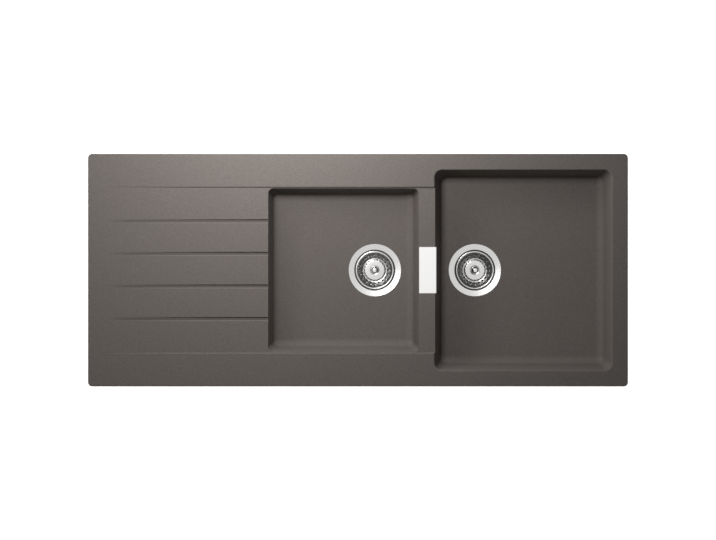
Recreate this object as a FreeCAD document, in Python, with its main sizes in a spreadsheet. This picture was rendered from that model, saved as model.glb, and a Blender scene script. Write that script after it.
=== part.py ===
import FreeCAD, Part
import math
import operator
import os
from types import SimpleNamespace

import Sketcher
from FreeCAD import Placement, Rotation, Vector

# A kitchen sink with drainboard: one granite composite moulding with a half bowl and a main bowl, and the
# waste, overflow and clamps that go with it. Millimetres. The origin is the centre of the sink on the
# worktop's surface. +X points from the drainboard to the main bowl, +Y to the rear ledge and +Z up.

SIZES = {
    # rim and deck
    "sink_length": 1160,
    "sink_width": 500,
    "rim_height": 9,
    "plan_corner": 9,
    "rim_rounding": 2.5,
    "mouth_rounding": 3,
    "worktop_lap": 10,
    "cutout_play": 2,
    "skirt_wall": 7,
    "skirt_drop": 13,
    "brim": 2,
    "overcut": 1,
    # lowered field with the drainboard
    "field_margin": 32,
    "drain_fall": 5,
    "field_drop": 10,
    "deck_thickness": 9,
    "deck_relief": 1,
    "groove_count": 4,
    "groove_pitch": 70,
    "groove_width": 8.6,
    "groove_floor": 4.2,
    "groove_depth": 3,
    "groove_setback": 5,
    "rib_thickness": 6,
    # bowls
    "right_margin": 35,
    "rim_margin": 35,
    "main_step": 37.5,
    "main_length": 380,
    "main_depth": 200,
    "main_lean": 13,
    "main_corner": 16,
    "bridge_width": 33.5,
    "half_step": 1,
    "half_length": 325,
    "half_depth": 145,
    "half_lean": 12,
    "half_corner": 12,
    "floor_rounding": 18,
    "shell_bevel": 12,
    "bowl_wall": 8,
    "bowl_floor": 10,
    "main_drain_inset": 88.5,
    "half_drain_inset": 95.1,
    # holes in the moulding
    "drain_bore": 45,
    "seat_play": 0.6,
    "tap_hole_radius": 17.5,
    "tap_hole_skin": 3,
    "tap_hole_setback": 37,
    # strainer cups and baskets, in radii and depths below the bowl floor
    "sheet": 1,
    "flange_radius": 56.5,
    "flange_dish": 2.4,
    "mouth_radius": 44.4,
    "cup_radius": 44,
    "cup_depth": 36,
    "outlet_radius": 26,
    "hub_radius": 8,
    "spoke_width": 4,
    "basket_sheet": 0.8,
    "bead_radius": 40.5,
    "bead_width": 3.9,
    "bead_drop": 3.2,
    "bead_height": 2.4,
    "basket_foot_radius": 29.5,
    "basket_depth": 14,
    "crown_radius": 23.2,
    "crown_height": 3.6,
    "crown_lean": 3.6,
    "hole_count": 20,
    "hole_radius": 1.7,
    "floor_ring": 26.7,
    "knob_radius": 7.7,
    "knob_neck": 4.5,
    "knob_flat": 1.3,
    "knob_rise": 7.2,
    "stem_radius": 4.5,
    "seal_radius": 29,
    "seal_thickness": 3.5,
    # waste bodies under the bowls
    "sump_radius": 55,
    "sump_wall": 4,
    "sump_depth": 50,
    "thread_radius": 23.9,
    "spigot_wall": 3.5,
    "spigot_length": 24,
    # overflow
    "slot_length": 76,
    "slot_width": 11,
    "slot_inset": 10,
    "channel_drop": 8.5,
    "cover_length": 99,
    "cover_leg": 12,
    "cover_gap": 0.6,
    "cover_slot_length": 14,
    "cover_slot_height": 4,
    "head_length": 92,
    "head_width": 15,
    "head_height": 20,
    "head_taper": 16,
    "head_wall": 2,
    "hose_radius": 9.5,
    "hose_bore": 7.5,
    "hose_turn": 22,
    "spigot_reach": 12,
    "hose_play": 0.5,
    "port_level": 24,
    "port_reach": 12,
    # clamps
    "clamp_inset": 18.5,
    "clamp_reach": 28,
    "clamp_end": 200,
    "boss_width": 16,
    "boss_drop": 22,
    "screw_grip": 14,
    "screw_radius": 2.5,
    "screw_head": 5,
    "screw_head_height": 4,
    "screw_length": 46,
    "press_play": 0.02,
    "claw_play": 0.06,
    "claw_radius": 7,
    "claw_thickness": 5,
    "claw_gap": 0.1,
    "claw_toe": 5,
    "claw_toe_height": 8,
}

doc = FreeCAD.newDocument("DrainboardSink")
sheet = doc.addObject("Spreadsheet::Sheet", "Sizes")
for row, (alias, number) in enumerate(SIZES.items(), start=1):
    sheet.set(f"A{row}", alias)
    sheet.set(f"B{row}", str(number))
    sheet.setAlias(f"B{row}", alias)
doc.recompute()


class Size:
    """A length, kept both as a number and as the sheet expression that a feature is bound to."""

    signs = {"+": operator.add, "-": operator.sub, "*": operator.mul, "/": operator.truediv}

    def __init__(self, number, text=None):
        self.number = float(number)
        self.text = text or f"{self.number:.6f}"

    def joined(self, sign, other):
        other = as_size(other)
        number = Size.signs[sign](self.number, other.number)
        return Size(number, f"({self.text} {sign} {other.text})")

    def __float__(self):
        return self.number

    def __add__(self, other):
        return self.joined("+", other)

    def __sub__(self, other):
        return self.joined("-", other)

    def __mul__(self, other):
        return self.joined("*", other)

    def __truediv__(self, other):
        return self.joined("/", other)

    def __radd__(self, other):
        return as_size(other).joined("+", self)

    def __rsub__(self, other):
        return as_size(other).joined("-", self)

    def __rmul__(self, other):
        return as_size(other).joined("*", self)

    def __neg__(self):
        return as_size(0).joined("-", self)


def as_size(value):
    return value if isinstance(value, Size) else Size(value)


s = SimpleNamespace(**{alias: Size(number, f"Sizes.{alias}") for alias, number in SIZES.items()})


# Ways of making a piece: bound Part primitives, and bodies drawn from sketches.

def bind(item, **sizes):
    """Bind properties of an object to sizes. Two underscores in a name stand for a dot."""
    for name, value in sizes.items():
        item.setExpression(name.replace("__", "."), as_size(value).text)


def place(item, x=0, y=0, z=0, turn=None):
    """Set an object's rotation and bind its position."""
    if turn:
        item.Placement = Placement(Vector(), turn)
    bind(item, Placement__Base__x=x, Placement__Base__y=y, Placement__Base__z=z)
    return item


def box(name, x, y, z):
    """A box from three pairs of limits."""
    item = doc.addObject("Part::Box", name)
    bind(item, Length=x[1] - x[0], Width=y[1] - y[0], Height=z[1] - z[0])
    return place(item, x[0], y[0], z[0])


def cylinder(name, radius, x, y, z):
    """An upright cylinder between two levels."""
    item = doc.addObject("Part::Cylinder", name)
    bind(item, Radius=radius, Height=z[1] - z[0])
    return place(item, x, y, z[0])


def frustum(name, x, y, top, depth, lean, lean_y=None):
    """A block that hangs from a level and draws in by lean towards its foot."""
    lean_y = lean if lean_y is None else lean_y
    item = doc.addObject("Part::Wedge", name)
    bind(item, Xmin=x[0], Xmax=x[1], X2min=x[0] + lean, X2max=x[1] - lean, Ymin=0, Ymax=depth)
    bind(item, Zmin=y[0], Zmax=y[1], Z2min=y[0] + lean_y, Z2max=y[1] - lean_y)
    return place(item, z=top, turn=Rotation(Vector(1, 0, 0), -90))


def fused(name, items):
    item = doc.addObject("Part::MultiFuse", name)
    item.Shapes = items
    item.Refine = True
    return item


def cut(name, base, tool):
    item = doc.addObject("Part::Cut", name)
    item.Base, item.Tool = base, tool
    item.Refine = True
    return item


def rounded(name, base, chosen, kind="Fillet"):
    """Round or chamfer the edges of base: chosen(start, end) gives None or a size at each end of an edge."""
    doc.recompute()
    edges = []
    for index, edge in enumerate(base.Shape.Edges, start=1):
        ends = [edge.valueAt(edge.FirstParameter), edge.valueAt(edge.LastParameter)]
        radii = chosen(*ends)
        if radii:
            edges.append((index, *(float(radius) for radius in radii)))
    if not edges:
        raise ValueError(f"{name} found no edge to round")
    item = doc.addObject("Part::" + kind, name)
    item.Base, item.Edges = base, edges
    return item


def near(value, *others):
    return all(abs(float(value) - float(other)) < 0.01 for other in others)


def upright(radius):
    """Choose the edges that stand straight up."""
    def chosen(start, end):
        return (radius, radius) if near(start.x, end.x) and near(start.y, end.y) else None
    return chosen


def origin_plane(body, role):
    return next(item for item in body.Origin.OriginFeatures if item.Role == role)


def new_body(name):
    return doc.addObject("PartDesign::Body", name)


def drawn(item, corners):
    """Draw a closed outline in a sketch. Each corner is held by two sizes, and a third one makes the side
    that leaves it an arc of that radius, anticlockwise if positive."""
    points = [Vector(float(corner[0]), float(corner[1]), 0) for corner in corners]
    ends = []
    for index, corner in enumerate(corners):
        start, end = points[index], points[(index + 1) % len(points)]
        if len(corner) == 2:
            item.addGeometry(Part.LineSegment(start, end))
            ends.append((1, 2))
            continue
        radius = abs(float(corner[2]))
        anticlockwise = float(corner[2]) > 0
        first, last = (start, end) if anticlockwise else (end, start)
        chord = last - first
        rise = math.sqrt(max(radius**2 - chord.Length**2 / 4, 0))
        centre = (first + last) * 0.5 + Vector(-chord.y, chord.x, 0).normalize() * rise
        angles = [math.atan2(point.y - centre.y, point.x - centre.x) for point in (first, last)]
        item.addGeometry(Part.ArcOfCircle(Part.Circle(centre, Vector(0, 0, 1), radius), *angles))
        ends.append((1, 2) if anticlockwise else (2, 1))
    for index, (leaving, arriving) in enumerate(ends):
        following = (index + 1) % len(ends)
        item.addConstraint(Sketcher.Constraint("Coincident", index, arriving, following, ends[following][0]))
    for index, corner in enumerate(corners):
        for kind, value in zip(("DistanceX", "DistanceY"), corner):
            held = Sketcher.Constraint(kind, -1, 1, index, ends[index][0], float(value))
            number = item.addConstraint(held)
            item.setExpression(f"Constraints[{number}]", as_size(value).text)
        if len(corner) == 3:
            number = item.addConstraint(Sketcher.Constraint("Radius", index, abs(float(corner[2]))))
            text = as_size(corner[2]).text
            item.setExpression(f"Constraints[{number}]", f"abs({text})")
    return item


def sketch(body, role, corners, level=0):
    """A closed sketch on one of the body's own planes."""
    item = body.newObject("Sketcher::SketchObject", body.Name + "_outline")
    item.AttachmentSupport = [(origin_plane(body, role), "")]
    item.MapMode = "FlatFace"
    bind(item, AttachmentOffset__Base__z=level)
    return drawn(item, corners)


def lofted(name, sections):
    """A solid ruled between two sections, each a list of corners with the values that place it."""
    items = []
    for corners, placing in sections:
        item = doc.addObject("Sketcher::SketchObject", name + "_section")
        items.append(drawn(place(item, **placing), corners))
    loft = doc.addObject("Part::Loft", name)
    loft.Sections, loft.Solid, loft.Ruled = items, True, True
    return loft


def circles(body, role, rings, level=0):
    """A sketch of circles, each a centre and a radius."""
    item = body.newObject("Sketcher::SketchObject", body.Name + "_circles")
    item.AttachmentSupport = [(origin_plane(body, role), "")]
    item.MapMode = "FlatFace"
    bind(item, AttachmentOffset__Base__z=level)
    for index, (x, y, radius) in enumerate(rings):
        centre = Vector(float(x), float(y), 0)
        item.addGeometry(Part.Circle(centre, Vector(0, 0, 1), float(radius)))
        for kind, value in (("DistanceX", x), ("DistanceY", y)):
            number = item.addConstraint(Sketcher.Constraint(kind, -1, 1, index, 3, float(value)))
            item.setExpression(f"Constraints[{number}]", as_size(value).text)
        number = item.addConstraint(Sketcher.Constraint("Radius", index, float(radius)))
        item.setExpression(f"Constraints[{number}]", as_size(radius).text)
    return item


def turned(body, corners, feature="Revolution"):
    """Turn an outline in radius and height about the body's upright axis."""
    profile = sketch(body, "XZ_Plane", corners)
    item = body.newObject("PartDesign::" + feature, body.Name + "_" + feature.lower())
    item.Profile = profile
    item.ReferenceAxis = (profile, ["V_Axis"])
    item.Angle = 360
    return item


def padded(body, profile, length, both_ways=False):
    item = body.newObject("PartDesign::Pad", body.Name + "_pad")
    item.Profile = profile
    item.Midplane = both_ways
    bind(item, Length=length)
    return item


def pocketed(body, profile, length, both_ways=False):
    """Cut a sketch into the body, and make sure that it took something away."""
    doc.recompute()
    before = body.Shape.Volume
    item = body.newObject("PartDesign::Pocket", body.Name + "_pocket")
    item.Profile = profile
    item.Midplane = both_ways
    bind(item, Length=length)
    doc.recompute()
    if not body.Shape.Volume < before:
        raise ValueError(f"{item.Name} cut nothing")
    return item


def patterned(body, feature, count):
    """Repeat a feature evenly round the body's upright axis."""
    item = body.newObject("PartDesign::PolarPattern", body.Name + "_pattern")
    item.Originals = [feature]
    item.Axis = (origin_plane(body, "Z_Axis"), [""])
    item.Angle = 360
    bind(item, Occurrences=count)
    body.Tip = item
    return item


def rectangle(x, y):
    return [(x[0], y[0]), (x[1], y[0]), (x[1], y[1]), (x[0], y[1])]


nodes = []


def node(item, label):
    """Name a finished sub-part."""
    item.Label = label
    nodes.append(item)
    return item


# Levels and lines that the pieces share.

half_sink = s.sink_length / 2
half_width = s.sink_width / 2
mouth_level = s.rim_height - s.field_drop
main_x = (half_sink - s.right_margin - s.main_length, half_sink - s.right_margin)
main_y = (s.rim_margin - half_width, half_width - s.rim_margin)
half_x = (main_x[0] - s.bridge_width - s.half_length, main_x[0] - s.bridge_width)
field_y = (main_y[0] + s.main_step, main_y[1] - s.main_step)
half_y = (field_y[0] + s.half_step, field_y[1] - s.half_step)
field_start = s.field_margin - half_sink
field_edge = s.rim_height - s.drain_fall
main_floor = s.rim_height - s.main_depth
half_floor = s.rim_height - s.half_depth
drains = {"main": (main_x[0] + s.main_drain_inset, main_floor),
          "half": (half_x[1] - s.half_drain_inset, half_floor)}
field_run = half_x[0] - field_start
field_slope = s.drain_fall / field_run
wall_slope = s.half_lean / s.half_depth
sunk = s.deck_relief * 2
seat_drop = s.flange_dish + s.sheet
bridge_foot = mouth_level - s.deck_thickness
slot_x = (main_x[0] - s.slot_inset - s.slot_width, main_x[0] - s.slot_inset)


# The sink body: a moulding of quartz sand in acrylic resin. Its deck lies on the worktop, and the bowls, the
# lowered field and the stiffening skirt hang below it.

def bowl_block(name, x, y, floor, lean, top, foot, grow):
    """A block with a bowl's leaning sides between two levels, grown outwards by a wall."""
    def inset(level):
        return lean * (s.rim_height - level) / (s.rim_height - floor) - grow

    return frustum(name + "_block", (x[0] + inset(top), x[1] - inset(top)),
                   (y[0] + inset(top), y[1] - inset(top)), top, top - foot, inset(foot) - inset(top))


def bowl_hollow(name, x, y, floor, lean, corner):
    """The inside of a bowl. Its corners and its foot are rounded."""
    block = bowl_block(name, x, y, floor, lean, s.rim_height, floor, as_size(0))

    def inner_edge(start, end):
        if near(start.z, end.z):
            return (s.floor_rounding, s.floor_rounding) if near(start.z, floor) else None
        return corner, corner

    return rounded(name, block, inner_edge)


def bowl_shell(name, x, y, floor, lean):
    """A bowl's outer form, from inside the deck to the underside of its floor."""
    foot = floor - s.bowl_floor
    block = bowl_block(name, x, y, floor, lean, sunk, foot, s.bowl_wall)

    def outer_edge(start, end):
        return (s.shell_bevel, s.shell_bevel) if near(start.z, foot) or near(end.z, foot) else None

    return rounded(name, block, outer_edge, kind="Chamfer")


across = Rotation(Vector(1, 1, 1), 120)


def open_water():
    """What is open to the top below the deck: the passage over the bridge and the two bowls."""
    side = field_y[1] - wall_slope * (s.rim_height - sunk)
    passage = box("passage", (half_x[1] - s.half_corner * 2, main_x[0] + s.main_corner * 2), (-side, side),
                  (mouth_level, s.rim_height))
    return [passage, bowl_hollow("main_hollow", main_x, main_y, main_floor, s.main_lean, s.main_corner),
            bowl_hollow("half_hollow", half_x, half_y, half_floor, s.half_lean, s.half_corner)]


def grooves():
    """The drain grooves' hollows. Each starts at nothing and deepens towards the half bowl."""
    items = []
    for number in range(int(SIZES["groove_count"])):
        middle = s.groove_pitch * (number - (s.groove_count - 1) / 2)
        sections = []
        ends = ((field_start + s.groove_setback, as_size(0)), (half_x[0] + s.half_corner, s.groove_depth))
        for x, depth in ends:
            surface = s.rim_height - field_slope * (x - field_start)
            wide, narrow = s.groove_width / 2, s.groove_floor / 2
            sections.append(([(middle - wide, surface + s.brim), (middle - wide, surface),
                              (middle - narrow, surface - depth), (middle + narrow, surface - depth),
                              (middle + wide, surface), (middle + wide, surface + s.brim)],
                             {"x": x, "turn": across}))
        items.append(lofted(f"groove_{number + 1}", sections))
    return items


def sink_body():
    water = open_water()
    deck = box("deck_plate", (-half_sink, half_sink), (-half_width, half_width), (as_size(0), s.rim_height))
    deck = rounded("deck_corners", deck, upright(s.plan_corner))
    mouth = frustum("field_mouth", (field_start, main_x[0] + s.main_corner * 2), field_y, s.rim_height,
                    s.rim_height, as_size(0), wall_slope * s.rim_height)
    deck = cut("deck_opened", deck, fused("mouths", [mouth, water[1]]))

    def top_edge(start, end):
        if not near(start.z, end.z, s.rim_height) or near(start.x, end.x, field_start):
            return None
        outside = any(near(abs(p.x), half_sink) or near(abs(p.y), half_width) for p in (start, end))
        return (s.rim_rounding, s.rim_rounding) if outside else (s.mouth_rounding, s.mouth_rounding)

    edge = s.worktop_lap + s.cutout_play
    wall = s.skirt_wall
    skirt_x, skirt_y = (edge - half_sink, half_sink - edge), (edge - half_width, half_width - edge)
    inner_x, inner_y = (skirt_x[0] + wall, skirt_x[1] - wall), (skirt_y[0] + wall, skirt_y[1] - wall)
    deck = cut("deck", rounded("deck_edged", deck, top_edge),
               box("deck_relief", inner_x, inner_y, (as_size(0), s.deck_relief)))

    field = new_body("drain_field")
    end = half_x[0] + s.half_lean
    profile = sketch(field, "XZ_Plane", [
        (field_start, s.rim_height - s.deck_thickness), (half_x[0], field_edge - s.deck_thickness),
        (end, field_edge - s.deck_thickness), (end, field_edge), (half_x[0], field_edge),
        (field_start, s.rim_height)])
    padded(field, profile, (field_y[1] + s.deck_thickness) * 2, both_ways=True)
    bridge = box("bridge", half_x[1:] + main_x[:1],
                 (field_y[0] - s.deck_thickness, field_y[1] + s.deck_thickness),
                 (bridge_foot, mouth_level))

    skirt_z = (-s.skirt_drop, as_size(0))
    rib_z = (-s.skirt_drop, sunk)
    skirt = cut("skirt", box("skirt_block", skirt_x, skirt_y, skirt_z),
                box("skirt_hollow", inner_x, inner_y, skirt_z))
    ribs = []
    for number in (1, 2, 3):
        middle = field_start + field_run * number / 4
        ribs.append(box(f"cross_rib_{number}", (middle - s.rib_thickness / 2, middle + s.rib_thickness / 2),
                        (skirt_y[0] + wall / 2, skirt_y[1] - wall / 2), rib_z))
    for number, middle in enumerate((-s.groove_pitch, s.groove_pitch), start=1):
        ribs.append(box(f"long_rib_{number}", (skirt_x[0] + wall / 2, half_x[0]),
                        (middle - s.rib_thickness / 2, middle + s.rib_thickness / 2), rib_z))
    half_boss = s.boss_width / 2
    bosses = [box(f"boss_{number}", (x - half_boss, x + half_boss), (y - half_boss, y + half_boss),
                  (-s.boss_drop, sunk))
              for number, (x, y, turn) in enumerate(clamp_places, start=1)]
    shells = [bowl_shell("main_shell", main_x, main_y, main_floor, s.main_lean),
              bowl_shell("half_shell", half_x, half_y, half_floor, s.half_lean)]
    moulding = fused("moulding", [deck, field, bridge, skirt, *ribs, *shells, *bosses])

    opened = cut("bowls_opened", moulding, fused("bowl_hollows", water))
    opened = cut("field_grooved", opened, fused("groove_hollows", grooves()))
    bores = []
    for name, (x, floor) in drains.items():
        bores.append(cylinder(name + "_drain", s.drain_bore, x, 0, (floor - s.bowl_floor * 2, floor)))
        bores.append(cylinder(name + "_seat", s.flange_radius + s.seat_play, x, 0,
                              (floor - seat_drop, floor + seat_drop)))
    slot_y = (-s.slot_length / 2, s.slot_length / 2)
    slot_top = mouth_level + s.overcut
    bores.append(box("overflow_slot", slot_x, slot_y, (bridge_foot * 2, slot_top)))
    bores.append(box("overflow_channel", (slot_x[0], main_x[0] + s.overcut), slot_y,
                     (mouth_level - s.channel_drop, slot_top)))
    bores.append(cylinder("tap_hole", s.tap_hole_radius, main_x[0] - s.main_drain_inset,
                          half_width - s.tap_hole_setback,
                          (-s.skirt_drop * 2, s.rim_height - s.tap_hole_skin)))
    for number, (x, y, turn) in enumerate(clamp_places, start=1):
        bores.append(cylinder(f"screw_bore_{number}", s.screw_radius + s.press_play, x, y,
                              (-s.boss_drop * 2, s.screw_grip - s.boss_drop)))
    return cut("opened_moulding", opened, fused("bores", bores))


# Clamps stand under the rim, all round the sink: their places, and the way that each claw lies at rest.
line_x, line_y = half_sink - s.clamp_inset, half_width - s.clamp_inset
end_x = half_sink - s.clamp_end
clamp_places = [(-end_x, line_y, 0), (end_x, line_y, 0), (line_x, as_size(0), -90),
                (end_x, -line_y, 180), (-end_x, -line_y, 180), (-line_x, as_size(0), 90)]

node(sink_body(), "sink_body")


# Strainers. Each is drawn round its drain, with heights counted from the bowl floor.

def strainer_cup(name, x, floor):
    """The steel cup. Its dished flange fills the seat in the bowl floor, and four openings let water out."""
    cup = place(new_body(name + "_cup"), x, 0, floor)
    turned(cup, [
        (s.flange_radius, 0), (s.mouth_radius, -s.flange_dish),
        (s.cup_radius - s.sheet, -seat_drop), (s.cup_radius - s.sheet, s.sheet - s.cup_depth),
        (0, s.sheet - s.cup_depth), (0, -s.cup_depth), (s.cup_radius, -s.cup_depth),
        (s.cup_radius, -seat_drop), (s.flange_radius, -seat_drop)])
    gap = s.spoke_width / 2
    outer = math.asin(float(gap / s.outlet_radius))
    inner = math.asin(float(gap / s.hub_radius))
    far, close = s.outlet_radius * math.cos(outer), s.hub_radius * math.cos(inner)
    opening = pocketed(cup, sketch(cup, "XY_Plane", [
        (close, gap), (far, gap, s.outlet_radius), (gap, far), (gap, close, -s.hub_radius)],
        -s.cup_depth), s.sheet * 2, both_ways=True)
    patterned(cup, opening, 4)
    return cup


def basket(name, x, floor):
    """The perforated basket: a rolled rim, a sloping wall, a floor with its ring of holes and a crown."""
    item = place(new_body(name + "_basket"), x, 0, floor)
    lip = s.bead_radius - s.bead_width
    floor_top, crown_top = -s.basket_depth, s.crown_height - s.basket_depth
    crown_edge = s.crown_radius - s.crown_lean
    turned(item, [
        (s.bead_radius, -s.bead_drop), (lip, -s.bead_drop), (s.basket_foot_radius, floor_top),
        (s.crown_radius, floor_top), (crown_edge, crown_top), (0, crown_top),
        (0, crown_top - s.basket_sheet), (crown_edge - s.basket_sheet, crown_top - s.basket_sheet),
        (s.crown_radius - s.basket_sheet, floor_top - s.basket_sheet),
        (s.basket_foot_radius, floor_top - s.basket_sheet), (s.bead_radius, -s.bead_drop - s.bead_height)])
    half, slant = s.hole_radius / 2, s.hole_radius * math.sqrt(3) / 2
    ring = s.floor_ring
    hole = pocketed(item, sketch(item, "XY_Plane", [
        (ring + s.hole_radius, 0), (ring + half, slant), (ring - half, slant), (ring - s.hole_radius, 0),
        (ring - half, -slant), (ring + half, -slant)], floor_top), s.basket_sheet * 4, both_ways=True)
    patterned(item, hole, s.hole_count)
    return item


def knob(name, x, floor):
    """The ball handle, with its neck and the stem that carries the plug seal."""
    item = place(new_body(name + "_knob"), x, 0, floor)
    crown_top = s.crown_height - s.basket_depth
    middle = s.knob_rise + crown_top
    side = s.knob_radius * math.tan(math.pi / 8)
    turned(item, [
        (0, crown_top), (s.knob_neck, crown_top), (s.knob_neck, middle - s.knob_radius + s.knob_flat),
        (s.knob_radius, middle - side), (s.knob_radius, middle + side), (side, middle + s.knob_radius),
        (0, middle + s.knob_radius)])
    return item


def plug(name, x, floor):
    """The rubber plug that shuts the cup, on the stem under the basket."""
    item = place(new_body(name + "_plug"), x, 0, floor)
    foot = s.sheet - s.cup_depth
    top = s.crown_height - s.basket_depth - s.basket_sheet
    turned(item, [(0, foot), (s.seal_radius, foot), (s.seal_radius, foot + s.seal_thickness),
                  (s.stem_radius, foot + s.seal_thickness), (s.stem_radius, top), (0, top)])
    return item


def level_tube(name, radius, x, level, length):
    """A cylinder that lies along +X."""
    item = doc.addObject("Part::Cylinder", name)
    bind(item, Radius=radius, Height=length)
    return place(item, x, 0, level, turn=Rotation(Vector(0, 1, 0), 90))


def waste_body(name, x, floor):
    """The moulded sump under a bowl, with the threaded spigot that the pipework screws on to."""
    item = place(new_body(name + "_waste"), x, 0, floor)
    top = -s.bowl_floor
    foot = top - s.sump_depth
    bore = s.thread_radius - s.spigot_wall
    inside = s.sump_radius - s.sump_wall
    turned(item, [
        (s.sump_radius, top), (inside, top), (inside, foot + s.sump_wall), (bore, foot + s.sump_wall),
        (bore, foot - s.spigot_length), (s.thread_radius, foot - s.spigot_length), (s.thread_radius, foot),
        (s.sump_radius, foot)])
    if name == "half":
        return item
    start, level = x - s.sump_radius - s.port_reach, floor + top - s.port_level
    outer, inner = s.hose_bore - s.press_play, s.hose_bore - s.press_play - s.head_wall
    port = level_tube("overflow_port", outer, start, level, s.port_reach + s.sump_wall / 2)
    way = level_tube("overflow_way", inner, start - s.overcut, level, s.port_reach + s.sump_wall * 2)
    return cut("main_waste_ported", fused("main_waste_whole", [item, port]), way)


for name, (x, floor) in drains.items():
    node(strainer_cup(name, x, floor), name + "_strainer_cup")
    node(basket(name, x, floor), name + "_basket")
    node(knob(name, x, floor), name + "_knob")
    node(plug(name, x, floor), name + "_plug_seal")
    node(waste_body(name, x, floor), name + "_waste_body")


# Clamps. Each claw hangs on its screw and swings out under the worktop when the screw is tightened.

screw_foot = s.screw_grip - s.boss_drop - s.screw_length
claw_top = screw_foot + s.claw_gap + s.claw_thickness


def clamp_screw(number, x, y):
    """A hexagon-head screw, turned up into its boss from below."""
    item = place(new_body(f"clamp_screw_{number}"), x, y)
    head_foot = screw_foot - s.screw_head_height
    half, slant = s.screw_head / 2, s.screw_head * math.sqrt(3) / 2
    padded(item, circles(item, "XY_Plane", [(as_size(0), as_size(0), s.screw_radius)], head_foot),
           s.screw_head_height + s.screw_length)
    padded(item, sketch(item, "XY_Plane", [
        (s.screw_head, 0), (half, slant), (-half, slant),
        (-s.screw_head, 0), (-half, -slant), (half, -slant)], head_foot), s.screw_head_height)
    return item


def clamp_claw(number, x, y, turn):
    """A claw: a plate round the screw that reaches along the rim at rest, with a toe that grips upwards."""
    item = place(new_body(f"clamp_claw_{number}"), x, y, turn=Rotation(Vector(0, 0, 1), turn))
    foot = claw_top - s.claw_thickness
    half = s.claw_radius / 2
    padded(item, sketch(item, "XY_Plane", [
        (-half, -s.claw_radius), (s.clamp_reach, -half), (s.clamp_reach, half), (-half, s.claw_radius),
        (-s.claw_radius, half), (-s.claw_radius, -half)], foot), s.claw_thickness)
    padded(item, sketch(item, "XY_Plane", rectangle(
        (s.clamp_reach - s.claw_toe, s.clamp_reach), (-half, half)), foot),
        s.claw_thickness + s.claw_toe_height)
    pocketed(item, circles(item, "XY_Plane", [(as_size(0), as_size(0), s.screw_radius + s.claw_play)], foot),
             s.claw_thickness * 2, both_ways=True)
    return item


for number, (x, y, turn) in enumerate(clamp_places, start=1):
    node(clamp_screw(number, x, y), f"clamp_screw_{number}")
    node(clamp_claw(number, x, y, turn), f"clamp_claw_{number}")


# Overflow: a steel cover on the bridge, a head under it and a hose down to the main waste.

def overflow_cover():
    """A bent plate that lies on the bridge and hangs a slotted leg over the main bowl's wall."""
    item = place(new_body("cover"), 0, 0, mouth_level)
    drop = s.rim_height - mouth_level + s.cover_leg
    left, right = half_x[1], main_x[0] + s.main_lean * drop / s.main_depth + s.cover_gap
    padded(item, sketch(item, "XZ_Plane", [
        (left, 0), (right, 0), (right, -s.cover_leg), (right + s.sheet, -s.cover_leg),
        (right + s.sheet, s.sheet), (left, s.sheet)]), s.cover_length, both_ways=True)
    middle = -s.cover_leg / 2
    pitch = s.cover_slot_length * 1.5
    first = -pitch * 1.5
    height = s.cover_slot_height / 2
    half = s.cover_slot_length / 2
    slot = pocketed(item, sketch(item, "YZ_Plane", rectangle(
        (first - half, first + half), (middle - height, middle + height)), right),
        s.sheet * 4, both_ways=True)
    row = item.newObject("PartDesign::LinearPattern", "cover_slots")
    row.Originals = [slot]
    row.Direction = (origin_plane(item, "Y_Axis"), [""])
    bind(row, Length=pitch * 3, Occurrences=4)
    item.Tip = row
    return item


def overflow_head():
    """The funnel under the slot. It draws in from the slot's length to the hose's spigot."""
    wall = s.head_wall
    middle = (slot_x[0] + slot_x[1]) / 2
    x = (middle - s.head_width / 2, middle + s.head_width / 2)
    y = (-s.head_length / 2, s.head_length / 2)
    foot = bridge_foot - s.head_height
    spigot = s.hose_bore - s.press_play
    lean = (s.head_length - s.head_width) / 2
    spigot_foot = foot - s.head_taper - s.spigot_reach
    outer = [box("head_box", x, y, (foot, bridge_foot)),
             frustum("head_funnel", x, y, foot, s.head_taper, as_size(0), lean),
             cylinder("head_spigot", spigot, middle, 0, (spigot_foot, foot - s.head_taper))]
    inner_x, inner_y = (x[0] + wall, x[1] - wall), (y[0] + wall * 4, y[1] - wall * 4)
    inner = [box("head_space", inner_x, inner_y, (foot, bridge_foot + s.overcut)),
             frustum("funnel_space", inner_x, inner_y, foot, s.head_taper, as_size(0), lean - wall * 3),
             cylinder("spigot_space", spigot - wall, middle, 0,
                      (spigot_foot - s.overcut, foot - s.head_taper + s.overcut))]
    return cut("overflow_head", fused("head_outside", outer), fused("head_inside", inner))


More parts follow.
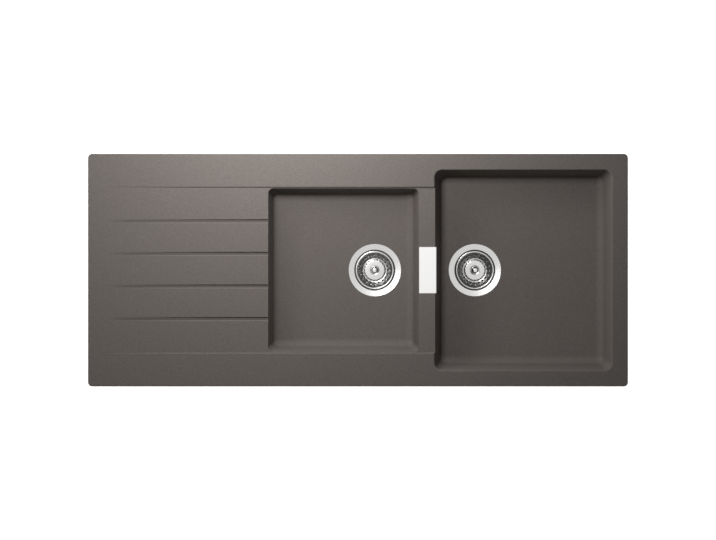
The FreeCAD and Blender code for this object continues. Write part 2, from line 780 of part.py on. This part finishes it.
def overflow_hose():
    """The hose from the head's spigot down to the main sump's port, in three straight runs."""
    x, floor = drains["main"]
    top = bridge_foot - s.head_height - s.head_taper
    level = floor - s.bowl_floor - s.port_level
    middle = (slot_x[0] + slot_x[1]) / 2
    end = x - s.sump_radius - s.hose_play
    tubes = []
    for role, radius, spare in (("wall", s.hose_radius, as_size(0)), ("bore", s.hose_bore, s.overcut)):
        path = doc.addObject("Sketcher::SketchObject", f"hose_{role}_path")
        path.Placement = Placement(Vector(), Rotation(Vector(1, 0, 0), 90))
        route = [(middle, top + spare), (middle, level + s.hose_turn), (middle + s.hose_turn, level),
                 (end + spare, level)]
        points = [Vector(float(x), float(z), 0) for x, z in route]
        for start, stop in zip(points, points[1:]):
            path.addGeometry(Part.LineSegment(start, stop))
        for index in range(2):
            path.addConstraint(Sketcher.Constraint("Coincident", index, 2, index + 1, 1))
        for index, ends in enumerate(((1,), (1,), (1, 2))):
            for end_point in ends:
                for kind, value in zip(("DistanceX", "DistanceY"), route[index + end_point - 1]):
                    held = Sketcher.Constraint(kind, -1, 1, index, end_point, float(value))
                    path.setExpression(f"Constraints[{path.addConstraint(held)}]", value.text)
        ring = doc.addObject("Sketcher::SketchObject", f"hose_{role}_ring")
        place(ring, middle, 0, top + spare)
        ring.addGeometry(Part.Circle(Vector(), Vector(0, 0, 1), float(radius)))
        ring.addConstraint(Sketcher.Constraint("Coincident", 0, 3, -1, 1))
        number = ring.addConstraint(Sketcher.Constraint("Radius", 0, float(radius)))
        ring.setExpression(f"Constraints[{number}]", radius.text)
        tube = doc.addObject("Part::Sweep", f"hose_{role}")
        tube.Sections, tube.Spine = [ring], (path, ["Edge1", "Edge2", "Edge3"])
        tube.Solid, tube.Transition = True, "Right corner"
        tubes.append(tube)
    return cut("overflow_hose", *tubes)


node(overflow_cover(), "overflow_cover")
node(overflow_head(), "overflow_head")
node(overflow_hose(), "overflow_hose")


# Everything is checked before a file is written.
doc.recompute()
os.makedirs("parts", exist_ok=True)
for item in doc.Objects:
    if {"Invalid", "Error"} & set(item.State):
        raise ValueError(f"{item.Label} failed: {item.State}")
for item in nodes:
    if item.Shape.isNull() or not item.Shape.isValid():
        raise ValueError(f"{item.Label} has no valid shape")
for item in nodes:
    item.Shape.exportStep(f"parts/{item.Label}.step")
    print(item.Label, len(item.Shape.Solids), round(item.Shape.Volume))
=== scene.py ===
import math

import bmesh
import bpy
from mathutils import Matrix, Vector


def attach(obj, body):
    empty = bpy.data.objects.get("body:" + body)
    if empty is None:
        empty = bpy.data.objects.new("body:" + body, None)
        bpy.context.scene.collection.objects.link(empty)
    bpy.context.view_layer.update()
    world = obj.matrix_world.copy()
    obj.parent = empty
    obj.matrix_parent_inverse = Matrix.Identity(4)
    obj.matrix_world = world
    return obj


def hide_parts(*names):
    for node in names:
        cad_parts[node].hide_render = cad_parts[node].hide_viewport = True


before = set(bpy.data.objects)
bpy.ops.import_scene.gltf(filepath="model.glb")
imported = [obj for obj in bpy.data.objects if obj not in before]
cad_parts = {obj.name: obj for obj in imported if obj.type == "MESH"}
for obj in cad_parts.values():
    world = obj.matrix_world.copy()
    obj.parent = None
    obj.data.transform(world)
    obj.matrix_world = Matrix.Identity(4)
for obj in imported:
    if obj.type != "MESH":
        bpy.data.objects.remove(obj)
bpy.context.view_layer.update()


# Studio. White paper under the sink and a camera straight above it and far away. A round lamp over
# the rear left of the rim is so near that it fades across the sink, and a soft box gives the paper
# its shadow. Two low boxes at the front and the right reach only the sides that face them.

FRAME_WIDTH = 1.538
CAMERA_HEIGHT = 20
CAMERA_SHIFT = 0.0003
SENSOR = 0.036
MILLIMETRES = 1000
RIM_TOP = 0.009
WORK_FLOOR = -0.2752
PAPER_REACH = 6
PAPER_TONE = (0.85, 0.85, 0.85, 1)
PAPER_GLOW = 0.95
ROOM_TONE = (0.95, 0.97, 1, 1)
ROOM_FILL = 0.04
WHITE = (1, 1, 1, 1)

camera = bpy.data.objects.new("camera", bpy.data.cameras.new("camera"))
camera.data.sensor_width = SENSOR * MILLIMETRES
camera.data.lens = SENSOR * MILLIMETRES * CAMERA_HEIGHT / FRAME_WIDTH
camera.data.clip_end = CAMERA_HEIGHT * 3
camera.location = (0, CAMERA_SHIFT, CAMERA_HEIGHT + RIM_TOP)
bpy.context.collection.objects.link(camera)
bpy.context.scene.camera = camera
bpy.context.scene.view_settings.view_transform = "Standard"


def lamp(name, kind, place, size, watts, target):
    """A lamp that looks at a point."""
    light = bpy.data.lights.new(name, kind)
    light.energy = watts
    item = bpy.data.objects.new(name, light)
    item.location = place
    item.rotation_euler = (Vector(target) - Vector(place)).to_track_quat("-Z", "Y").to_euler()
    bpy.context.collection.objects.link(item)
    if kind == "AREA":
        light.shape, light.size = "SQUARE", size
    else:
        light.shadow_soft_size = size
    return light


rim_lamp = lamp("rim_lamp", "POINT", (-0.172, 0.509, 0.492), 0.1, 21.6, (0, 0, 0))
rim_lamp.use_shadow = False
lamp("high_box", "AREA", (-1.0, 1.0, 2.4), 1.2, 20, (0, 0, 0))
lamp("front_box", "AREA", (0.3, -2.4, -0.24), 0.4, 38, (0.1, 0, -0.14))
lamp("right_box", "AREA", (2.6, -0.3, -0.24), 0.4, 32, (0.3, 0, -0.14))


class Value:
    """A number, colour or vector inside a material. Sums on it add the nodes that work them out."""

    def __init__(self, finish, socket):
        self.finish, self.socket = finish, socket

    def sum(self, operation, first, second):
        return self.finish.node("ShaderNodeMath", {"operation": operation}, {0: first, 1: second})

    def __add__(self, other):
        return self.sum("ADD", self, other)

    def __sub__(self, other):
        return self.sum("SUBTRACT", self, other)

    def __mul__(self, other):
        return self.sum("MULTIPLY", self, other)

    def __truediv__(self, other):
        return self.sum("DIVIDE", self, other)

    def __radd__(self, other):
        return self.sum("ADD", other, self)

    def __rsub__(self, other):
        return self.sum("SUBTRACT", other, self)

    def __rmul__(self, other):
        return self.sum("MULTIPLY", other, self)


class Finish:
    """A material, or the world, as a tree of nodes."""

    def __init__(self, name, owner=None):
        self.owner = owner or bpy.data.materials.new(name)
        self.owner.use_nodes = True
        self.tree = self.owner.node_tree
        self.tree.nodes.clear()

    def node(self, kind, settings=None, sockets=None, out=0):
        """Add a node: settings first, then the values or links of its sockets. Gives one output."""
        item = self.tree.nodes.new(kind)
        for name, value in (settings or {}).items():
            setattr(item, name, value)
        for name, value in (sockets or {}).items():
            if isinstance(value, Value):
                self.tree.links.new(value.socket, item.inputs[name])
            else:
                item.inputs[name].default_value = value
        return Value(self, item.outputs[out]) if item.outputs else item

    def place(self):
        """The point's place on the object, in metres."""
        return self.node("ShaderNodeTexCoord", out="Object")

    def noise(self, size, detail=2.0, place=None):
        """A cloudy value round 0.5, with lumps of about this size in metres."""
        return self.node("ShaderNodeTexNoise", {}, {
            "Vector": place or self.place(), "Scale": 1 / size, "Detail": detail})

    def mixed(self, factor, first, second):
        """A blend of two colours."""
        return self.node("ShaderNodeMix", {"data_type": "RGBA"}, {
            0: factor, 6: first, 7: second}, out=2)

    def rising(self, value, start, end, most=1.0):
        """0 until a value reaches start, and then up to the most that it gives at end."""
        return self.node("ShaderNodeMapRange", {}, {
            "Value": value, "From Min": start, "From Max": end, "To Min": 0.0, "To Max": most})

    def bumped(self, height, strength, depth):
        """A normal that follows a height, as deep as this distance in metres."""
        return self.node("ShaderNodeBump", {}, {
            "Height": height, "Strength": strength, "Distance": depth})

    def surface(self, **sockets):
        """Close the material with a Principled shader."""
        names = {name.replace("_", " "): value for name, value in sockets.items()}
        shader = self.node("ShaderNodeBsdfPrincipled", {}, names)
        self.node("ShaderNodeOutputMaterial", {}, {"Surface": shader})
        return self.owner


def seen_or_mirrored(finish):
    """1 for what is seen, straight or in a shiny or clear surface, and 0 for light that falls."""
    seen, mirrored, through = (
        finish.node("ShaderNodeLightPath", out=name)
        for name in ("Is Camera Ray", "Is Glossy Ray", "Is Transmission Ray"))
    either = finish.node("ShaderNodeMath", {"operation": "MAXIMUM"}, {0: seen, 1: mirrored})
    return finish.node("ShaderNodeMath", {"operation": "MAXIMUM"}, {0: either, 1: through})


def room():
    """A room that looks white and gives the lamps a weak fill."""
    world = bpy.data.worlds.new("room")
    bpy.context.scene.world = world
    finish = Finish("room", world)
    fill = finish.node("ShaderNodeBackground", {}, {"Color": ROOM_TONE, "Strength": ROOM_FILL})
    white = finish.node("ShaderNodeBackground", {}, {"Color": WHITE, "Strength": 1})
    both = finish.node("ShaderNodeMixShader", {}, {
        0: seen_or_mirrored(finish), 1: fill, 2: white})
    finish.node("ShaderNodeOutputWorld", {}, {"Surface": both})


def sweep():
    """The white paper under the sink. It looks nearly white, and keeps the sink's shadow."""
    mesh = bpy.data.meshes.new("sweep")
    signs = ((-1, -1), (1, -1), (1, 1), (-1, 1))
    corners = [(x * PAPER_REACH, y * PAPER_REACH, WORK_FLOOR) for x, y in signs]
    mesh.from_pydata(corners, [], [(0, 1, 2, 3)])
    floor = bpy.data.objects.new("sweep", mesh)
    bpy.context.collection.objects.link(floor)
    finish = Finish("paper")
    paper = finish.node("ShaderNodeBsdfDiffuse", {}, {"Color": PAPER_TONE})
    glow = finish.node("ShaderNodeEmission", {}, {"Color": WHITE, "Strength": PAPER_GLOW})
    lit = finish.node("ShaderNodeAddShader", {}, {0: paper, 1: glow})
    seen = finish.node("ShaderNodeMixShader", {}, {
        0: seen_or_mirrored(finish), 1: paper, 2: lit})
    finish.node("ShaderNodeOutputMaterial", {}, {"Surface": seen})
    mesh.materials.append(finish.owner)


room()
sweep()


# Sink body. One moulding of quartz sand in tinted acrylic resin, cast in a steel mould: fine warm
# grey grains under a matt skin. The drainboard's grooves are darkened with painted shade.

GRAIN = 0.0011
GROOVE_PITCH = 0.070
OUTER_GROOVE = 0.105
GROOVE_WIDTH = 0.0086
BOARD_START = -0.540
BOARD_END = -0.192
STONE = (0.157, 0.1395, 0.1285, 1)
DARK_GRAIN = (0.088, 0.079, 0.069, 1)
PALE_GRAIN = (0.235, 0.217, 0.194, 1)
WARM_CLOUD = (0.185, 0.165, 0.148, 1)
# How strongly painted shade darkens the drainboard's grooves.
GROOVE_SHADE = 0.6


def dress(names, material):
    """Give CAD nodes a finish."""
    for name in names:
        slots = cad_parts[name].data.materials
        slots.clear()
        slots.append(material)


def groove_shade_mask(finish, place):
    """1 in the drainboard's grooves, where shade is painted, and 0 beside them."""
    x, y, z = (finish.node("ShaderNodeSeparateXYZ", {}, {"Vector": place}, out=axis)
               for axis in "XYZ")
    turn = finish.node("ShaderNodeMath", {"operation": "FRACT"}, {
        0: (y + OUTER_GROOVE) / GROOVE_PITCH + 0.5})
    off_line = finish.node("ShaderNodeMath", {"operation": "ABSOLUTE"}, {
        0: turn - 0.5}) * GROOVE_PITCH
    off_middle = finish.node("ShaderNodeMath", {"operation": "ABSOLUTE"}, {0: y})
    across = finish.rising(off_line, GROOVE_WIDTH * 0.36, GROOVE_WIDTH * 0.22)
    on_top = finish.rising(z, -0.0005, 0.0)
    on_board = finish.rising(off_middle, OUTER_GROOVE + 0.010, OUTER_GROOVE + 0.008)
    started = finish.rising(x, BOARD_START, BOARD_START + 0.05)
    not_ended = finish.rising(x, BOARD_END, BOARD_END - 0.002)
    return across * on_top * on_board * started * not_ended


def granite():
    """Grains of three tones, clouded a little, with painted shade in the grooves."""
    finish = Finish("granite")
    place = finish.place()
    cell = finish.node("ShaderNodeTexVoronoi", {}, {
        "Vector": place, "Scale": 1 / GRAIN}, out="Color")
    pick = finish.node("ShaderNodeSeparateColor", {}, {"Color": cell})
    dark = finish.rising(pick, 0.20, 0.10, 0.42)
    pale = finish.rising(pick, 0.84, 0.94, 0.38)
    cloud = finish.noise(0.12, 3)
    tone = finish.mixed(dark, finish.mixed(pale, STONE, PALE_GRAIN), DARK_GRAIN)
    warm = finish.mixed(cloud * 0.12, tone, WARM_CLOUD)
    # Painted shade: the grooves are darkened towards the dark grain tone.
    groove_shaded = finish.mixed(groove_shade_mask(finish, place) * GROOVE_SHADE, warm, DARK_GRAIN)
    grain = finish.noise(GRAIN * 0.8, 3, place)
    return finish.surface(
        Base_Color=groove_shaded, Roughness=0.80 + grain * 0.1, IOR=1.5, Specular_IOR_Level=0.08,
        Normal=finish.bumped(grain, 0.35, 0.00012))


dress(["sink_body"], granite())


# Strainer cups. Pressed stainless steel, spun and brushed in rings, with a dished flange that fills
# its seat in the bowl floor. Each cup has its own centre for the brush marks.

DRAINS = {"main": (0.2535, -0.191), "half": (0.0364, -0.136)}
STEEL = (0.64, 0.635, 0.625)
BRUSH_MARKS = 2600
BRUSH_SHADE = 0.86
# How dark the painted reflection of the bowl is, and how soft its edges are.
REFLECTION_SHADE = 0.36
REFLECTION_EDGE = 0.0007
CUP_MOUTH = 0.0443


def steel(name, tone, rough, centre=None, depth=0.00004, dark_reflection_ring=None):
    """Stainless steel with brush marks: in rings round a drain, or along a plate without a centre.
    Between two distances from the drain's axis, a painted reflection of the bowl darkens it."""
    finish = Finish(name)
    place = finish.place()

    def darker(share):
        return (*(value * share for value in tone), 1)

    if centre:
        offset = finish.node("ShaderNodeVectorMath", {"operation": "SUBTRACT"}, {
            0: place, 1: (centre, 0, 0)})
        flat = finish.node("ShaderNodeVectorMath", {"operation": "MULTIPLY"}, {
            0: offset, 1: (1, 1, 0)})
        across = finish.node("ShaderNodeVectorMath", {"operation": "LENGTH"}, {
            0: flat}, out="Value")
    else:
        across = finish.node("ShaderNodeSeparateXYZ", {}, {"Vector": place}, out="X")
    brush = finish.node("ShaderNodeTexNoise", {"noise_dimensions": "1D"}, {
        "W": across, "Scale": BRUSH_MARKS, "Detail": 4.0})
    cloud = finish.noise(0.02, 3, place)
    shade = finish.mixed(brush * 0.3 + cloud * 0.2, (*tone, 1), darker(BRUSH_SHADE))
    # Painted reflection: the steel between the two distances is darkened.
    if dark_reflection_ring:
        inside, outside = (finish.rising(across, edge - REFLECTION_EDGE, edge + REFLECTION_EDGE) for edge in dark_reflection_ring)
        shade = finish.mixed(inside * (1 - outside), shade, darker(REFLECTION_SHADE))
    return finish.surface(
        Base_Color=shade, Metallic=1.0, Roughness=rough + brush * 0.1,
        Normal=finish.bumped(brush, 0.2, depth))


# Each cup is darkened inside its mouth with a painted reflection of the dark bowl.
for bowl, (centre, floor) in DRAINS.items():
    cup_steel = steel(bowl + "_cup_steel", STEEL, 0.22, centre, dark_reflection_ring=(-0.01, CUP_MOUTH))
    dress([bowl + "_strainer_cup"], cup_steel)


# Baskets. Each is pressed from one thin sheet of stainless steel, with a rolled rim, a sloping wall
# and a raised crown. Twenty holes are punched in each of three rings, and those of the inner ring
# notch the crown's edge.

SHEET = 0.0008
SECTORS = 20
SECTOR_STEPS = 6
CURL = 0.0019
HOLE = 0.0016
CROWN_HOLE = 0.0017
WELD = 0.00002
SHARP_EDGE = 35
# Where the basket is darkened with a painted reflection of the dark bowl.
BASKET_REFLECTION_RING = (0.0258, 0.0378)


def along(profile, share):
    """The point at this share of a profile's length, which goes from 0 to 1."""
    lengths = [math.dist(a, b) for a, b in zip(profile, profile[1:])]
    left = share * sum(lengths)
    for (a, b), length in zip(zip(profile, profile[1:]), lengths):
        if left <= length:
            return tuple(p + (q - p) * left / length for p, q in zip(a, b))
        left -= length
    return profile[-1]


def arc(centre, radius, start, stop, steps=8):
    """Points of an arc in radius and height, with its angles in degrees."""
    angles = [math.radians(start + (stop - start) * step / steps) for step in range(steps + 1)]
    return [(centre[0] + radius * math.cos(angle), centre[1] + radius * math.sin(angle))
            for angle in angles]


def at_drain(bowl):
    """The place of a drain's axis, at the level of its bowl's floor."""
    x, z = DRAINS[bowl]
    return Matrix.Translation((x, 0, z))


def bridged(mesh, first, last):
    """Faces between two closed loops of points."""
    for step in range(len(first)):
        after = (step + 1) % len(first)
        mesh.faces.new((first[step], first[after], last[after], last[step]))


def stored(mesh, name):
    """Turn a drawn mesh's faces outwards and keep it as mesh data."""
    bmesh.ops.recalc_face_normals(mesh, faces=mesh.faces)
    data = bpy.data.meshes.new(name)
    mesh.to_mesh(data)
    mesh.free()
    return data


def finished(name, mesh, place, body, material):
    """Shade a mesh that was drawn round its own axis, link it, put it in its place and let it ride
    on its body."""
    mesh.shade_smooth()
    mesh.set_sharp_from_angle(angle=math.radians(SHARP_EDGE))
    mesh.materials.append(material)
    item = bpy.data.objects.new(name, mesh)
    bpy.context.collection.objects.link(item)
    mesh.transform(place)
    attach(item, body)
    return item


def basket(bowl):
    """The sheet is laid out band by band, from the rim's curl inwards to the crown's middle."""
    wall = [(0.0379, -0.0054), (0.0364, -0.0068), (0.0345, -0.0082), (0.0322, -0.0097),
            (0.0302, -0.0110)]
    foot = [(0.0302, -0.0110), (0.0284, -0.0120), (0.0266, -0.0129), (0.0250, -0.0136)]
    shoulder = [(0.0238, -0.0134), (0.0226, -0.0118), (0.0218, -0.0108), (0.0210, -0.0103),
                (0.0200, -0.0102)]
    bands = [
        (arc((0.0398, -0.0050), CURL, -60, 190, 16), None),
        ([(0.0379, -0.0053), (0.0379, -0.0054)], None),
        (wall, HOLE),
        (foot, HOLE),
        ([(0.0250, -0.0136), (0.0244, -0.0137), (0.0238, -0.0134)], None),
        (shoulder, CROWN_HOLE),
        ([(0.0200, -0.0102), (0.0120, -0.0100), (0.0050, -0.0099)], None)]
    mesh = bmesh.new()
    turn = math.tau / SECTORS

    def put(point, angle):
        radius, height = point
        return mesh.verts.new((radius * math.cos(angle), radius * math.sin(angle), height))

    def plain(profile, middle):
        """One sector of a band without holes."""
        columns = [middle + turn * (step / SECTOR_STEPS - 0.5) for step in range(SECTOR_STEPS + 1)]
        rows = [[put(point, angle) for angle in columns] for point in profile]
        for upper, lower in zip(rows, rows[1:]):
            for step in range(SECTOR_STEPS):
                mesh.faces.new((upper[step], upper[step + 1], lower[step + 1], lower[step]))

    def punched(profile, hole, middle):
        """One sector of a band with a hole of this radius, in loops from its border to the hole."""
        length = sum(math.dist(a, b) for a, b in zip(profile, profile[1:]))
        width = turn * along(profile, 0.5)[0]
        shares = [step / SECTOR_STEPS for step in range(SECTOR_STEPS)]
        border = [(part - 0.5, 0) for part in shares] + [(0.5, part) for part in shares]
        border += [(0.5 - part, 1) for part in shares] + [(-0.5, 1 - part) for part in shares]
        loops = []
        for share in (0, 0.5, 1):
            loop = []
            for side, down in border:
                angle = math.atan2((down - 0.5) * length, side * width)
                round_side = hole * math.cos(angle) / width
                round_down = 0.5 + hole * math.sin(angle) / length
                point = along(profile, down + (round_down - down) * share)
                sideways = side + (round_side - side) * share
                loop.append(put(point, middle + turn * sideways))
            loops.append(loop)
        for outer, inner in zip(loops, loops[1:]):
            bridged(mesh, outer, inner)

    for profile, hole in bands:
        for sector in range(SECTORS):
            if hole:
                punched(profile, hole, turn * sector)
            else:
                plain(profile, turn * sector)
    bmesh.ops.remove_doubles(mesh, verts=mesh.verts, dist=WELD)
    shape = stored(mesh, bowl + "_basket_sheet")
    sheet_steel = steel(bowl + "_basket_steel", STEEL, 0.24, DRAINS[bowl][0], dark_reflection_ring=BASKET_REFLECTION_RING)
    item = finished(bowl + "_basket_sheet", shape, at_drain(bowl), bowl + "_basket", sheet_steel)
    thickness = item.modifiers.new("sheet", "SOLIDIFY")
    thickness.thickness, thickness.offset = SHEET, 0
    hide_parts(bowl + "_basket")


for bowl in DRAINS:
    basket(bowl)


# Knobs. A polished steel ball, flattened a little, on a waisted neck. It is turned from one bar and
# screwed through the crown into the plug's stem.

ON_AXIS = 1e-6


def turned(name, profile, place, body, material, steps=96, shape=None):
    """Turn a profile in radius and height about its axis. shape may change the radius by place."""
    mesh = bmesh.new()
    rings = []
    for radius, height in profile:
        if radius < ON_AXIS:
            rings.append([mesh.verts.new((0, 0, height))])
            continue
        ring = []
        for step in range(steps):
            angle = math.tau * step / steps
            reach = radius + (shape(radius, height, angle) if shape else 0)
            ring.append(mesh.verts.new((reach * math.cos(angle), reach * math.sin(angle), height)))
        rings.append(ring)
    for upper, lower in zip(rings, rings[1:]):
        for step in range(steps):
            after = (step + 1) % steps
            if len(upper) == 1:
                mesh.faces.new((upper[0], lower[step], lower[after]))
            elif len(lower) == 1:
                mesh.faces.new((upper[step], lower[0], upper[after]))
            else:
                mesh.faces.new((upper[step], lower[step], lower[after], upper[after]))
    return finished(name, stored(mesh, name), place, body, material)


KNOB = 0.0080
KNOB_RISE = 0.0056
KNOB_LEVEL = -0.0011
KNOB_STEPS = 28
NECK_ANGLE = -52
ball_steel = steel("ball_steel", (0.72, 0.72, 0.72), 0.04, depth=0.00001)
angles = [math.radians(NECK_ANGLE + (90 - NECK_ANGLE) * step / KNOB_STEPS)
          for step in range(KNOB_STEPS)]
cap = [(KNOB * math.cos(angle), KNOB_LEVEL + KNOB_RISE * math.sin(angle)) for angle in angles]
for bowl in DRAINS:
    ball = turned(bowl + "_ball_knob", [
        (0, -0.0104), (0.0062, -0.0104), (0.0062, -0.0096), (0.0046, -0.0090), (0.0042, -0.0068),
        *cap, (0, KNOB_LEVEL + KNOB_RISE)],
        at_drain(bowl), bowl + "_basket", ball_steel, 64)
    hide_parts(bowl + "_knob")


# Plug seals. Black rubber, moulded over the foot of the stem that the knob is screwed to, with a
# soft lip that shuts the cup when the basket is pushed down.

def moulded(name, tone, rough):
    """Plain injection moulded plastic or rubber, with a fine eroded texture."""
    finish = Finish(name)
    grain = finish.noise(0.0007, 3)
    pale = tuple(min(1, value * 1.12) for value in tone)
    return finish.surface(
        Base_Color=finish.mixed(grain, (*tone, 1), (*pale, 1)),
        Roughness=rough + grain * 0.1,
        Normal=finish.bumped(grain, 0.12, 0.00008))


seal_rubber = moulded("seal_rubber", (0.018, 0.018, 0.019), 0.6)
for bowl in DRAINS:
    seal = turned(bowl + "_plug_rubber", [
        (0, -0.035), (0.0262, -0.035), (0.0284, -0.0344), (0.0290, -0.0333), (0.0284, -0.0324),
        (0.0262, -0.0321), (0.0245, -0.0328), (0.0150, -0.0328), (0.0120, -0.0315),
        (0.0075, -0.0315), (0.0058, -0.0300), (0.0045, -0.0285), (0.0045, -0.0112), (0, -0.0112)],
        at_drain(bowl), bowl + "_basket", seal_rubber)
    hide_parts(bowl + "_plug_seal")


# Overflow cover. A plate of brushed stainless steel, bent to lie on the bridge, where it is clipped
# on. Its leg hangs over the main bowl's wall, and water runs in through the leg's slots.

dress(["overflow_cover"], steel("cover_steel", (0.70, 0.695, 0.685), 0.36))


# Waste bodies. Off-white polypropylene sumps under the bowls, each moulded in one piece with a lip,
# eight gussets and a spigot with a round thread. The main one has a port for the hose.

THREAD_PITCH = 0.003
THREAD_TOP = -0.065
THREAD_END = -0.0836
THREAD_CREST = 0.0239
THREAD_DEPTH = 0.0007
THREAD_FADE = 0.002
THREAD_STEPS = 62
GUSSETS = 8
GUSSET_HALF = 0.0013
PORT_OUT = 0.0525
PORT_DROP = 0.034
waste_plastic = moulded("waste_plastic", (0.60, 0.60, 0.585), 0.42)


def thread(radius, height, angle):
    """Cut a round thread into the spigot."""
    if radius < THREAD_CREST or not THREAD_END < height < THREAD_TOP:
        return 0
    fade = min(1, (THREAD_TOP - height) / THREAD_FADE, (height - THREAD_END) / THREAD_FADE)
    wave = 1 + math.cos(math.tau * (height / THREAD_PITCH - angle / math.tau))
    return -THREAD_DEPTH * fade * wave


def sump(bowl):
    """The moulding, from its top edge down the outside, round the spigot's end and up inside."""
    threaded = [(THREAD_CREST, THREAD_TOP + (THREAD_END - THREAD_TOP) * step / THREAD_STEPS)
                for step in range(THREAD_STEPS + 1)]
    item = turned(bowl + "_sump", [
        (0.0510, -0.0100), (0.0548, -0.0100), (0.0550, -0.0103), (0.0550, -0.0146),
        (0.0548, -0.0150), (0.0536, -0.0154), (0.0534, -0.0160),
        *arc((0.0462, -0.0538), 0.0062, 0, -90, 8),
        (0.0276, -0.0600), (0.0266, -0.0604), (0.0262, -0.0612), (0.0262, -0.0640),
        (0.0258, -0.0644), *threaded, (0.0232, -0.0840), (0.0206, -0.0840), (0.0204, -0.0836),
        (0.0204, -0.0560), (0.0505, -0.0560), (0.0510, -0.0555), (0.0510, -0.0100)],
        at_drain(bowl), "sink", waste_plastic, shape=thread)
    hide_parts(bowl + "_waste_body")


def port():
    """The hose's port, which stands out of the main sump's wall. The hose hides most of it."""
    x, floor = DRAINS["main"]
    start = Matrix.Translation((x - PORT_OUT, 0, floor - PORT_DROP))
    lying = start @ Matrix.Rotation(math.radians(-90), 4, "Y")
    turned("main_port", [
        (0.0055, 0.0000), (0.0108, 0.0000), (0.0108, 0.0036), (0.0104, 0.0040), (0.0074, 0.0040),
        (0.0074, 0.0140), (0.0071, 0.0145), (0.0055, 0.0145), (0.0055, 0.0000)],
        lying, "sink", waste_plastic, 48)


def gussets(bowl):
    """Eight ribs between the sump's foot and the spigot."""
    mesh = bmesh.new()
    outline = [(0.0255, -0.0595), (0.0470, -0.0595), (0.0456, -0.0606), (0.0290, -0.0638),
               (0.0255, -0.0640)]
    for number in range(GUSSETS):
        angle = math.tau * (number + 0.5) / GUSSETS
        out = Vector((math.cos(angle), math.sin(angle), 0))
        side = Vector((-math.sin(angle), math.cos(angle), 0)) * GUSSET_HALF
        faces = []
        for sign in (1, -1):
            faces.append([mesh.verts.new(out * radius + Vector((0, 0, height)) + side * sign)
                          for radius, height in outline])
        mesh.faces.new(faces[0])
        mesh.faces.new(faces[1][::-1])
        bridged(mesh, *faces)
    name = bowl + "_gussets"
    finished(name, stored(mesh, name), at_drain(bowl), "sink", waste_plastic)


for bowl in DRAINS:
    sump(bowl)
    gussets(bowl)
port()


# Overflow head and hose. A moulded funnel under the slot, and a ribbed hose of soft grey plastic
# that runs from it down to the port on the main sump, with a plain cuff at each end.

dress(["overflow_head"], waste_plastic)
HOSE_ROUTE = [(0.1495, 0, -0.0465), (0.1495, 0, -0.150), (0.1495, 0, -0.225), (0.1978, 0, -0.225)]
HOSE = 0.0095
HOSE_WALL = 0.0012
HOSE_SIDES = 40
LINE_STEPS = 60
RIB_PITCH = 0.0034
RIB_STEPS = 8
RIB_DEPTH = 0.0008
CUFF = 0.012
ROUNDING = 1e-9


def hose_line():
    """Points along the hose's smooth line."""
    curve = bpy.data.curves.new("hose_line", "CURVE")
    curve.dimensions, curve.resolution_u = "3D", LINE_STEPS
    spline = curve.splines.new("NURBS")
    spline.points.add(len(HOSE_ROUTE) - 1)
    for point, place in zip(spline.points, HOSE_ROUTE):
        point.co = (*place, 1)
    spline.order_u, spline.use_endpoint_u = 3, True
    holder = bpy.data.objects.new("hose_line", curve)
    drawn = bpy.data.meshes.new_from_object(holder)
    points = [vertex.co.copy() for vertex in drawn.vertices]
    bpy.data.meshes.remove(drawn)
    bpy.data.curves.remove(curve)
    return points


def hose():
    """A tube along the line. Its ribs start at nothing beyond each cuff."""
    line = hose_line()
    travelled = [0]
    for a, b in zip(line, line[1:]):
        travelled.append(travelled[-1] + (b - a).length)
    total = travelled[-1]

    def at(distance):
        """The point at a distance along the line, and the way ahead."""
        index = max(i for i, far in enumerate(travelled[:-1]) if far <= distance + ROUNDING)
        share = (distance - travelled[index]) / (travelled[index + 1] - travelled[index])
        before, after = line[max(index - 1, 0)], line[min(index + 2, len(line) - 1)]
        return line[index].lerp(line[index + 1], share), (after - before).normalized()

    mesh = bmesh.new()
    rings = []
    count = round(total / RIB_PITCH * RIB_STEPS)
    for step in range(count + 1):
        distance = total * step / count
        middle, ahead = at(distance)
        ribbed = min(1, max(0, (min(distance, total - distance) - CUFF) / RIB_PITCH))
        radius = HOSE - RIB_DEPTH * ribbed * (1 + math.cos(math.tau * distance / RIB_PITCH))
        side = Vector((0, 1, 0))
        up = ahead.cross(side).normalized()
        turns = [math.tau * part / HOSE_SIDES for part in range(HOSE_SIDES)]
        outwards = [side * math.cos(turn) + up * math.sin(turn) for turn in turns]
        rings.append([mesh.verts.new(middle + out * radius) for out in outwards])
    for first, last in zip(rings, rings[1:]):
        bridged(mesh, first, last)
    shape = stored(mesh, "ribbed_hose")
    shape.shade_smooth()
    shape.materials.append(moulded("hose_plastic", (0.40, 0.41, 0.41), 0.5))
    item = bpy.data.objects.new("ribbed_hose", shape)
    bpy.context.collection.objects.link(item)
    wall = item.modifiers.new("wall", "SOLIDIFY")
    wall.thickness, wall.offset = HOSE_WALL, -1
    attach(item, "sink")
    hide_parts("overflow_hose")


hose()


# Clamps. Six zinc-plated screws, turned up into the bosses under the rim, each with a claw of black
# glass-filled nylon that swings out under the worktop.

CLAMPS = range(1, 7)
dress([f"clamp_screw_{number}" for number in CLAMPS], steel("zinc", (0.60, 0.61, 0.63), 0.30))
claw_nylon = moulded("claw_nylon", (0.03, 0.03, 0.032), 0.45)
dress([f"clamp_claw_{number}" for number in CLAMPS], claw_nylon)
